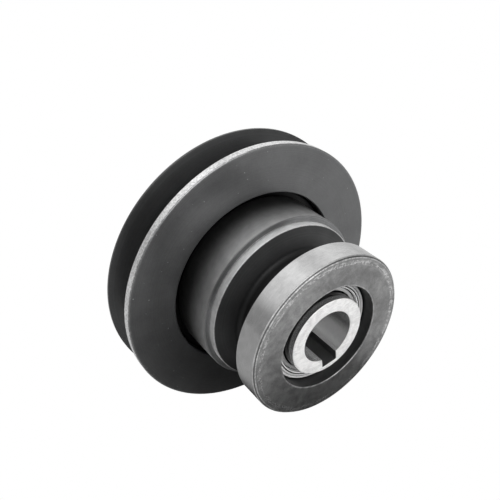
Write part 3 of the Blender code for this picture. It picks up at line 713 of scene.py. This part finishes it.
# ================================================================ large pulley
drop = (LARGE_R - LARGE_GROOVE_FLOOR_R) * SLOPE
large = lathe("large_pulley_turned", [
    (LARGE_R - 0.3, 0.0, 0.10),
    (LARGE_R, -0.3, 0.10),
    (LARGE_R, LARGE_GROOVE_FRONT, 0.12),
    (LARGE_GROOVE_FLOOR_R, LARGE_GROOVE_FRONT - drop, 1.6),
    (LARGE_GROOVE_FLOOR_R, LARGE_GROOVE_REAR + drop, 1.6),
    (LARGE_R, LARGE_GROOVE_REAR, 0.12),
    (LARGE_R, LARGE_REAR + 0.35, 0.1),
    (LARGE_R - 0.35, LARGE_REAR, 0.1),
    (49.6, LARGE_REAR, 0.3),
    (48.8, LARGE_REAR + 0.8, 0.4),
    (LARGE_HUB_R + 0.9, LARGE_REAR + 0.8, 0.4),
    (LARGE_HUB_R, LARGE_REAR - 0.1, 0.3),
    (LARGE_HUB_R, LARGE_HUB_REAR + 0.5, 0.12),
    (LARGE_HUB_R - 0.5, LARGE_HUB_REAR, 0.12),
    (LARGE_BORE_R + 0.4, LARGE_HUB_REAR, 0.08),
    (LARGE_BORE_R, LARGE_HUB_REAR + 0.4, 0.08),
    (LARGE_BORE_R, -23.8, 0.05),
    (LARGE_BORE_R + 1.5, -23.8, 0.1),
    (LARGE_BORE_R + 1.5, -20.7, 0.1),
    (LARGE_BORE_R, -20.7, 0.05),
    (LARGE_BORE_R, -3.4, 0.1),
    (LARGE_MOUTH_R, -3.4, 0.06),
    (LARGE_MOUTH_R, -0.4, 0.1),
    (LARGE_MOUTH_R + 0.4, 0.0, 0.1),
], 288)
dress(large, "large_pulley", "blackened_iron", "large", "large_pulley")
paint(large, "spacer", lambda r, s, radial, forward: r < LARGE_BORE_R + 0.1 and radial < -0.7 and s < -3.4)
smooth(large)

# ================================================================ small pulley
drop = (SMALL_R - SMALL_GROOVE_FLOOR_R) * SLOPE
small = lathe("small_pulley_turned", [
    (SMALL_R - 0.8, SMALL_FRONT, 0.15),
    (SMALL_R, SMALL_FRONT - 0.9, 0.2),
    (SMALL_R, SMALL_GROOVE_FRONT, 0.12),
    (SMALL_GROOVE_FLOOR_R, SMALL_GROOVE_FRONT - drop, 2.0),
    (SMALL_GROOVE_FLOOR_R, SMALL_GROOVE_REAR + drop, 2.0),
    (LIP_R, SMALL_GROOVE_REAR, 0.12),
    (LIP_R, DRUM_FRONT, 0.35),
    (DRUM_R, DRUM_FRONT, 0.55),
    (DRUM_R, DRUM_REAR + 0.5, 0.1),
    (DRUM_R - 0.5, DRUM_REAR, 0.1),
    (POCKET_R + 0.3, DRUM_REAR, 0.08),
    (POCKET_R, DRUM_REAR + 0.3, 0.08),
    (POCKET_R, -2.4, 0.05),
    (POCKET_R + 1.2, -2.4, 0.1),
    (POCKET_R + 1.2, -0.4, 0.1),
    (POCKET_R, -0.4, 0.05),
    (POCKET_R, POCKET_FRONT, 0.2),
    (SMALL_HOLE_R, POCKET_FRONT, 0.1),
    (SMALL_HOLE_R, SMALL_FRONT - 0.2, 0.06),
    (SMALL_HOLE_R + 0.2, SMALL_FRONT, 0.06),
], 256)
dress(small, "small_pulley", "blackened_iron", "drum", "small_pulley")
paint(small, "flange_face", lambda r, s, radial, forward: s > SMALL_FRONT - 0.95 and forward > 0.25 and r > SMALL_HOLE_R)
smooth(small)


# ================================================================ ball bearings
def race(centre_r, radius, shoulder, side, count):
    half = math.acos(abs(centre_r - shoulder) / radius)
    points = []
    for i in range(count):
        a = half * (1 - 2 * i / (count - 1))
        points.append((centre_r - radius * math.cos(a), radius * math.sin(a)))
    if side > 0:
        points = [(2 * centre_r - r, -s) for r, s in points]
    return points


def moved(corners, s):
    return [(c[0], c[1] + s, *c[2:]) for c in corners]


def inner_ring(name, node, b):
    h = b["half"]
    corners = [(b["inner"] - 0.45, h, 0.15), (b["inner"], h - 0.45, 0.15)]
    corners += race(b["pitch"], b["race"], b["inner"], -1, 15)
    corners += [(b["inner"], -h + 0.45, 0.15), (b["inner"] - 0.45, -h, 0.15), (b["bore"] + 0.7, -h, 0.3),
                (b["bore"], -h + 0.7, 0.3), (b["bore"], h - 0.7, 0.3), (b["bore"] + 0.7, h, 0.3)]
    ring = lathe(name, moved(corners, b["s"]), 192)
    return smooth(dress(ring, "sleeve", "bearing_steel", "ring", node))


def outer_ring(name, node, b, body, kind):
    h, rebate = b["half"], b["outer"] + 1.1
    deep = h - 1.5
    corners = [(b["outside"] - 0.8, h, 0.25), (b["outside"], h - 0.8, 0.25), (b["outside"], -h + 0.8, 0.25),
               (b["outside"] - 0.8, -h, 0.25), (rebate, -h, 0.08), (rebate, -deep, 0.12), (b["outer"], -deep, 0.08)]
    corners += race(b["pitch"], b["race"], b["outer"], +1, 15)
    corners += [(b["outer"], deep, 0.08), (rebate, deep, 0.12), (rebate, h, 0.08)]
    ring = lathe(name, moved(corners, b["s"]), 224)
    return smooth(dress(ring, body, "bearing_steel", kind, node))


def seal(name, node, b, body, side):
    """A rubber-faced disc: a bead in the outer ring, a raised ring, two grooves, and a thin lip by the inner ring."""
    inner, outer, near, far = b["inner"] + 0.35, b["outer"] + 0.8, b["half"] - 1.2, b["half"] - 0.35
    wide = outer - inner
    mid = (near + far) / 2
    corners = [
        (outer, far - 0.10, 0.10), (outer, near, 0.12), (inner + 0.35, near, 0.08), (inner, near + 0.25, 0.08),
        (inner, mid + 0.10, 0.08), (inner + 0.45, far - 0.20, 0.08), (inner + 0.14 * wide, far - 0.20, 0.05),
        (inner + 0.18 * wide, far, 0.06), (inner + 0.40 * wide, far, 0.06), (inner + 0.44 * wide, far - 0.14, 0.05),
        (inner + 0.50 * wide, far - 0.14, 0.05), (inner + 0.54 * wide, far, 0.06), (inner + 0.78 * wide, far, 0.06),
        (inner + 0.83 * wide, far - 0.22, 0.05), (inner + 0.90 * wide, far - 0.22, 0.05), (inner + 0.94 * wide, far - 0.03, 0.06),
    ]
    if side < 0:
        corners = [(c[0], -c[1], *c[2:]) for c in reversed(corners)]
    disc = lathe(name, moved(corners, b["s"]), 192)
    return smooth(dress(disc, body, "seal_rubber", "rubber", node))


def radial_pins(name, count, radius, reach, s, long_side=0.0):
    """One cutter of round pins, or round-cornered slots, standing out from the axis."""
    bm = bmesh.new()
    for i in range(count):
        a = 2 * math.pi * i / count
        out = Vector((math.sin(a), 0, math.cos(a)))
        across = Vector((math.cos(a), 0, -math.sin(a)))
        outline = []
        if long_side:
            corner, half, length = 0.45, radius, long_side / 2
            for cu, cv, start in ((half - corner, length - corner, 0), (-half + corner, length - corner, 90),
                                  (-half + corner, -length + corner, 180), (half - corner, -length + corner, 270)):
                for k in range(5):
                    t = math.radians(start + 22.5 * k)
                    outline.append((cu + corner * math.cos(t), cv + corner * math.sin(t)))
        else:
            outline = [(radius * math.cos(2 * math.pi * k / 56), radius * math.sin(2 * math.pi * k / 56)) for k in range(56)]
        rings = []
        for distance in reach:
            rings.append([bm.verts.new(out * (distance * MM) + across * (u * MM) + Vector((0, FACE_Y - (s + v) * MM, 0)))
                          for u, v in outline])
        for j in range(len(outline)):
            k = (j + 1) % len(outline)
            bm.faces.new((rings[0][j], rings[0][k], rings[1][k], rings[1][j]))
        bm.faces.new(rings[0])
        bm.faces.new(rings[1])
    bmesh.ops.recalc_face_normals(bm, faces=bm.faces)
    mesh = bpy.data.meshes.new(name)
    bm.to_mesh(mesh)
    bm.free()
    return add(name, mesh)


def ball_cage(name, node, b, body, half):
    inner, outer = b["inner"] + 1.0, b["outer"] - 1.0
    cage = lathe(name, moved([(outer, half, 0.25), (outer, -half, 0.25), (inner, -half, 0.25), (inner, half, 0.25)], b["s"]), 180)
    cut(cage, radial_pins(name + "_pins", b["count"], b["ball"] + 0.4, (b["inner"] - 3, b["outer"] + 3), b["s"]))
    return smooth(dress(cage, body, "cage_steel", "cage", node))


def ball_mesh(name, radius):
    """A ball from a subdivided cube, so that its faces are even all over."""
    bm = bmesh.new()
    bmesh.ops.create_cube(bm, size=2.0)
    bmesh.ops.subdivide_edges(bm, edges=bm.edges, cuts=11, use_grid_fill=True)
    for v in bm.verts:
        x, y, z = (math.tan(c * math.pi / 4) for c in v.co)
        v.co = Vector((x, y, z)).normalized() * radius * MM
    mesh = bpy.data.meshes.new(name)
    bm.to_mesh(mesh)
    bm.free()
    mesh.shade_smooth()
    return mesh


def ball_set(prefix, b, body):
    shared = ball_mesh(f"{prefix}_ball_round", b["ball"])
    for i in range(b["count"]):
        a = 2 * math.pi * i / b["count"]
        ball = add(f"{prefix}_ball_polished_{i + 1}", shared)
        ball.location = at(b["pitch"], b["s"], a)
        ball.rotation_euler = (0.7 * i, 1.3 * i, 0.4 * i)
        dress(ball, body, "ball_steel", "ball", f"{prefix}_ball_{i + 1}")


inner_ring("rear_inner_ring_ground", "rear_bearing_inner_ring", REAR)
# The rear outer ring gets the near-black finish that stands for painted shade.
outer_ring("rear_outer_ring_ground", "rear_bearing_outer_ring", REAR, "large_pulley", "painted_shade_ring")
seal("rear_front_seal_moulded", "rear_bearing_front_seal", REAR, "large_pulley", +1)
seal("rear_back_seal_moulded", "rear_bearing_rear_seal", REAR, "large_pulley", -1)
ball_cage("rear_cage_machined", "rear_bearing_cage", REAR, "rear_cage", 6.7)
ball_set("rear", REAR, "rear_cage")

inner_ring("hub_inner_ring_ground", "hub_bearing_inner_ring", HUB)
outer_ring("hub_outer_ring_ground", "hub_bearing_outer_ring", HUB, "small_pulley", "ring")
seal("hub_front_seal_moulded", "hub_bearing_front_seal", HUB, "small_pulley", +1)
seal("hub_back_seal_moulded", "hub_bearing_rear_seal", HUB, "small_pulley", -1)
ball_cage("hub_cage_machined", "hub_bearing_cage", HUB, "hub_cage", 4.6)
ball_set("hub", HUB, "hub_cage")

spacer = lathe("spacer_ring_turned", [(19.1, -0.6, 0.12), (19.1, -3.1, 0.12), (SLEEVE_R + 0.3, -3.1, 0.12), (SLEEVE_R + 0.3, -0.6, 0.12)], 192)
smooth(dress(spacer, "sleeve", "machined_steel", "spacer", "inner_spacer_ring"))

# ================================================================ needle bearing
lip = 1.7
needle_ring = lathe("needle_ring_drawn", [
    (NEEDLE_OUT_R - 0.4, NEEDLE_FRONT, 0.15),
    (NEEDLE_OUT_R, NEEDLE_FRONT - 0.4, 0.15),
    (NEEDLE_OUT_R, NEEDLE_REAR, 0.3),
    (NEEDLE_LIP_R, NEEDLE_REAR, 0.15),
    (NEEDLE_LIP_R, NEEDLE_REAR + lip, 0.1),
    (NEEDLE_RACE_R, NEEDLE_REAR + lip, 0.1),
    (NEEDLE_RACE_R, NEEDLE_FRONT - lip, 0.1),
    (NEEDLE_LIP_R, NEEDLE_FRONT - lip, 0.1),
    (NEEDLE_LIP_R, NEEDLE_FRONT - 0.25, 0.1),
    (NEEDLE_LIP_R + 0.25, NEEDLE_FRONT, 0.1),
    (17.42, NEEDLE_FRONT, 0.12),
    (17.54, NEEDLE_FRONT - 0.40, 0.04),
    (17.70, NEEDLE_FRONT - 0.40, 0.04),
    (17.84, NEEDLE_FRONT - 0.04, 0.18),
    (18.40, NEEDLE_FRONT - 0.04, 0.18),
    (18.56, NEEDLE_FRONT - 0.36, 0.04),
    (18.70, NEEDLE_FRONT - 0.36, 0.04),
    (18.86, NEEDLE_FRONT, 0.18),
], 224)
smooth(dress(needle_ring, "small_pulley", "bearing_steel", "needle_ring", "needle_bearing_ring"))

middle = (NEEDLE_FRONT + NEEDLE_REAR) / 2
needle_cage = lathe("needle_cage_pressed", [
    (CAGE_OUT_R, NEEDLE_FRONT - 0.9, 0.2), (CAGE_OUT_R, NEEDLE_REAR + 0.9, 0.2),
    (CAGE_IN_R, NEEDLE_REAR + 0.9, 0.2), (CAGE_IN_R, NEEDLE_FRONT - 0.9, 0.2),
], 216)
cut(needle_cage, radial_pins("needle_slots", NEEDLE_COUNT, NEEDLE_R + 0.3, (13.6, 19.6), middle, long_side=NEEDLE_LENGTH + 0.8))
smooth(dress(needle_cage, "needle_cage", "cage_steel", "pressed_cage", "needle_cage"))


def needle_mesh():
    """A roller with crowned ends, along its own Y."""
    half = NEEDLE_LENGTH / 2
    outline = [(0.0, half), (NEEDLE_R - 0.32, half)]
    outline += [(NEEDLE_R - 0.32 + 0.32 * math.sin(t * math.pi / 10), half - 0.32 + 0.32 * math.cos(t * math.pi / 10)) for t in range(1, 6)]
    outline += [(NEEDLE_R, s) for s in (5.0, 2.5, 0.0)]
    outline = outline + [(r, -s) for r, s in reversed(outline[:-1])]
    steps = 36
    bm = bmesh.new()
    top, bottom = bm.verts.new((0, half * MM, 0)), bm.verts.new((0, -half * MM, 0))
    rings = []
    for r, s in outline[1:-1]:
        rings.append([bm.verts.new((r * MM * math.sin(2 * math.pi * i / steps), s * MM, r * MM * math.cos(2 * math.pi * i / steps)))
                      for i in range(steps)])
    for i in range(steps):
        k = (i + 1) % steps
        bm.faces.new((top, rings[0][i], rings[0][k]))
        bm.faces.new((bottom, rings[-1][k], rings[-1][i]))
        for here, following in zip(rings, rings[1:]):
            bm.faces.new((here[i], following[i], following[k], here[k]))
    bmesh.ops.recalc_face_normals(bm, faces=bm.faces)
    mesh = bpy.data.meshes.new("needle_round")
    bm.to_mesh(mesh)
    bm.free()
    mesh.shade_smooth()
    mesh.set_sharp_from_angle(angle=math.radians(50))
    return mesh


shared_needle = needle_mesh()
for i in range(NEEDLE_COUNT):
    needle = add(f"needle_ground_{i + 1}", shared_needle)
    needle.location = at(NEEDLE_PITCH_R, middle, 2 * math.pi * i / NEEDLE_COUNT)
    dress(needle, "needle_cage", "ball_steel", "ball", f"needle_{i + 1}")


# ================================================================ retaining rings
def circlip(name, node, body, groove_r, free_r, front, thickness, gap_deg, lug, hole, turn_deg):
    """A stamped spring ring with two eyed lugs beside its gap and rounded stamped edges."""
    edge = 0.12
    curve = bpy.data.curves.new(name, "CURVE")
    curve.dimensions = "2D"
    curve.fill_mode = "BOTH"
    curve.extrude = (thickness / 2 - edge) * MM
    curve.bevel_depth = edge * MM
    curve.bevel_resolution = 2
    curve.offset = -edge * MM
    inward = 1 if free_r > groove_r else -1
    lug_r, eye_r = free_r + inward * lug, free_r + inward * lug * 0.42
    half_gap = math.radians(gap_deg) / 2
    lug_span = 1.5 * (hole + 1.3) / eye_r
    start, end = half_gap, 2 * math.pi - half_gap
    outline = [(groove_r, start + (end - start) * i / 150) for i in range(151)]
    shoulder = 9
    for i in range(shoulder + 1):
        t = i / shoulder
        ease = t * t * (3 - 2 * t)
        outline.append((lug_r + (free_r - lug_r) * ease, end - lug_span * (0.80 + 0.35 * t)))
    a0, a1 = end - lug_span * 1.15, start + lug_span * 1.15
    outline += [(free_r, a0 + (a1 - a0) * i / 120) for i in range(1, 120)]
    for i in range(shoulder + 1):
        t = i / shoulder
        ease = t * t * (3 - 2 * t)
        outline.append((free_r + (lug_r - free_r) * ease, start + lug_span * (1.15 - 0.35 * t)))
    loops = [[(r * math.sin(a), r * math.cos(a)) for r, a in
              [*outline[:151], (lug_r, end), *outline[151:], (lug_r, start)]]]
    for a in (start + lug_span * 0.42, end - lug_span * 0.42):
        cx, cy = eye_r * math.sin(a), eye_r * math.cos(a)
        loops.append([(cx + hole / 2 * math.cos(t * math.pi / 14), cy + hole / 2 * math.sin(t * math.pi / 14)) for t in range(28)])
    for loop in loops:
        spline = curve.splines.new("POLY")
        spline.points.add(len(loop) - 1)
        for point, (x, y) in zip(spline.points, loop):
            point.co = (x * MM, y * MM, 0, 1)
        spline.use_cyclic_u = True
    flat = add(name + "_outline", curve)
    bpy.context.view_layer.update()
    mesh = bpy.data.meshes.new_from_object(flat.evaluated_get(bpy.context.evaluated_depsgraph_get()))
    bpy.data.objects.remove(flat, do_unlink=True)
    place = (Matrix.Translation((0, FACE_Y - (front - thickness / 2) * MM, 0))
             @ Matrix.Rotation(math.radians(90), 4, "X") @ Matrix.Rotation(-math.radians(turn_deg), 4, "Z"))
    mesh.transform(place)
    bm = bmesh.new()
    bm.from_mesh(mesh)
    bmesh.ops.remove_doubles(bm, verts=bm.verts, dist=2e-6)
    bmesh.ops.recalc_face_normals(bm, faces=bm.faces)
    bm.to_mesh(mesh)
    bm.free()
    ring = add(name, mesh)
    return smooth(dress(ring, body, "spring_steel", "spring", node))


circlip("large_circlip_stamped", "large_bore_circlip", "large_pulley", LARGE_BORE_R + 1.2, 33.0, -21.0, 2.5, 22, 2.6, 2.0, 20)
circlip("hub_circlip_stamped", "hub_bore_circlip", "small_pulley", POCKET_R + 0.9, 25.4, -0.65, 1.5, 22, 2.4, 1.8, 140)
circlip("sleeve_rear_circlip_stamped", "sleeve_rear_circlip", "sleeve", SEAT_R - 0.7, 19.4, -21.05, 1.5, 26, 2.4, 1.8, 70)
circlip("sleeve_front_circlip_stamped", "sleeve_front_circlip", "sleeve", SLEEVE_R - 0.5, 16.6, 14.55, 1.5, 26, 2.0, 1.6, 250)


# ================================================================ stage, light and camera
def stage_floor():
    """A wide white floor. The camera sees it evenly white; the object sees it lit, and darker close by as a painted
    shadow.
    """
    bpy.ops.mesh.primitive_plane_add(size=12.0, location=(0, 0, CAD_BOX[0].z - 0.0002))
    floor = bpy.context.object
    floor.name = "floor"
    material = bpy.data.materials.new("pale_floor")
    material.use_nodes = True
    tree = material.node_tree
    shader = tree.nodes["Principled BSDF"]
    place = tree.nodes.new("ShaderNodeTexCoord")
    away = tree.nodes.new("ShaderNodeVectorMath")
    away.operation = "DISTANCE"
    tree.links.new(place.outputs["Object"], away.inputs[0])
    away.inputs[1].default_value = (0.01, -0.03, 0)
    shadow = tree.nodes.new("ShaderNodeMapRange")
    shadow.interpolation_type = "SMOOTHSTEP"
    tree.links.new(away.outputs["Value"], shadow.inputs["Value"])
    for key, value in (("From Min", 0.036), ("From Max", 0.068), ("To Min", 0.02), ("To Max", 0.69)):
        shadow.inputs[key].default_value = value
    tree.links.new(shadow.outputs[0], shader.inputs["Base Color"])
    shader.inputs["Roughness"].default_value = 0.9
    shader.inputs["Specular IOR Level"].default_value = 0.0
    glow = tree.nodes.new("ShaderNodeEmission")
    seen = tree.nodes.new("ShaderNodeLightPath")
    either = tree.nodes.new("ShaderNodeMixShader")
    tree.links.new(seen.outputs["Is Camera Ray"], either.inputs[0])
    tree.links.new(shader.outputs[0], either.inputs[1])
    tree.links.new(glow.outputs[0], either.inputs[2])
    tree.links.new(either.outputs[0], tree.nodes["Material Output"].inputs["Surface"])
    floor.data.materials.append(material)


def stage_world(panels, even):
    """A pale studio: an even dim light, and wide soft panels (azimuth and elevation in degrees, half width, strength)
    far away. Azimuth 0 is behind the object (+Y), 90 is to its right (+X)."""
    world = bpy.data.worlds.new("studio")
    bpy.context.scene.world = world
    world.use_nodes = True
    tree = world.node_tree
    tree.nodes.clear()

    def node(kind, operation=None):
        made = tree.nodes.new(kind)
        if operation:
            made.operation = operation
        return made

    coordinates = node("ShaderNodeTexCoord")
    total = None
    for azimuth, elevation, width, strength in panels:
        a, e = math.radians(azimuth), math.radians(elevation)
        dot = node("ShaderNodeVectorMath", "DOT_PRODUCT")
        tree.links.new(coordinates.outputs["Generated"], dot.inputs[0])
        dot.inputs[1].default_value = (math.sin(a) * math.cos(e), math.cos(a) * math.cos(e), math.sin(e))
        soft = node("ShaderNodeMapRange")
        soft.interpolation_type = "SMOOTHERSTEP"
        tree.links.new(dot.outputs["Value"], soft.inputs["Value"])
        soft.inputs["From Min"].default_value = math.cos(math.radians(width))
        soft.inputs["To Max"].default_value = strength
        if total is None:
            total = soft.outputs[0]
        else:
            add_up = node("ShaderNodeMath", "ADD")
            tree.links.new(total, add_up.inputs[0])
            tree.links.new(soft.outputs[0], add_up.inputs[1])
            total = add_up.outputs[0]
    lift = node("ShaderNodeMath", "ADD")
    tree.links.new(total, lift.inputs[0])
    lift.inputs[1].default_value = even
    seen = node("ShaderNodeLightPath")
    white = node("ShaderNodeMix")
    tree.links.new(seen.outputs["Is Camera Ray"], white.inputs[0])
    tree.links.new(lift.outputs[0], white.inputs[2])
    white.inputs[3].default_value = 1.25
    background = node("ShaderNodeBackground")
    tree.links.new(white.outputs[0], background.inputs["Strength"])
    output = node("ShaderNodeOutputWorld")
    tree.links.new(background.outputs[0], output.inputs["Surface"])


PANELS = [
    (185, 40, 40, 3.30),
    (0, 10, 30, 0.50),
    (45, 10, 30, 0.70),
    (135, 10, 30, 0.45),
    (225, 10, 30, 0.20),
    (22, 40, 34, 0.65),
    (67, 40, 34, 0.55),
    (337, 40, 34, 0.95),
    (0, 75, 38, 0.40),
]
stage_floor()
stage_world(PANELS, 0.56)

lens = bpy.data.cameras.new("camera")
lens.lens = 44.19
lens.sensor_width = 36.0
lens.sensor_fit = "HORIZONTAL"
lens.clip_start, lens.clip_end = 0.01, 20.0
camera = bpy.data.objects.new("camera", lens)
bpy.context.scene.collection.objects.link(camera)
right = Vector((0.8201, -0.5722, 0.0)).normalized()
back = Vector((-0.4767, -0.6832, 0.5531)).normalized()
up = back.cross(right).normalized()
right = up.cross(back).normalized()
camera.matrix_world = Matrix((
    (right.x, up.x, back.x, -0.11106),
    (right.y, up.y, back.y, -0.14621),
    (right.z, up.z, back.z, 0.13906),
    (0, 0, 0, 1),
))
bpy.context.scene.camera = camera
bpy.context.scene.view_settings.view_transform = "Standard"
bpy.context.scene.view_settings.look = "None"

bpy.context.view_layer.update()
